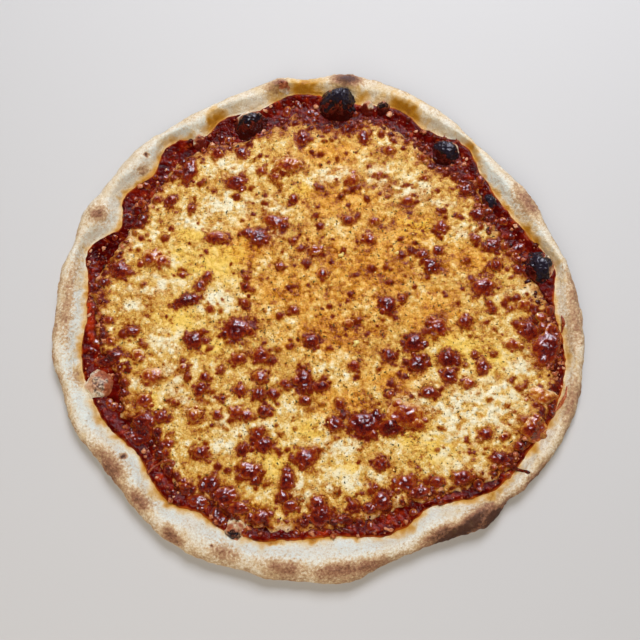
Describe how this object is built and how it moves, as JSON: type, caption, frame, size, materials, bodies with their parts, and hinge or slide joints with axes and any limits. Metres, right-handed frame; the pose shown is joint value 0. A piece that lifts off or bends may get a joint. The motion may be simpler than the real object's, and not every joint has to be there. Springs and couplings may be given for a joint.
{
  "type": "cheese pizza",
  "caption": "Whole uncut cheese pizza: thin flat dough with an uneven puffed rim and dough bubbles, tomato sauce showing at the edge, and browned blistered cheese.",
  "frame": {"origin": "middle of the flat underside's bounding rectangle, on the surface that the pizza lies on", "axes": "+Z up, out of the cheese; +Y towards the rim with the largest charred bubble; +X to the right when it is seen from above with +Y up"},
  "size_m": [0.4154, 0.4087, 0.026],
  "materials": {
    "baked_dough": "dry baked bread crust, pale cream with toasted and charred patches",
    "tomato_sauce": "wet cooked tomato sauce, dark red and glossy",
    "browned_cheese": "melted oily cheese, golden with glossy brown blisters"
  },
  "bodies": {
    "root": {"crust": "baked_dough", "sauce": "tomato_sauce", "cheese": "browned_cheese"}
  },
  "joints": []
}
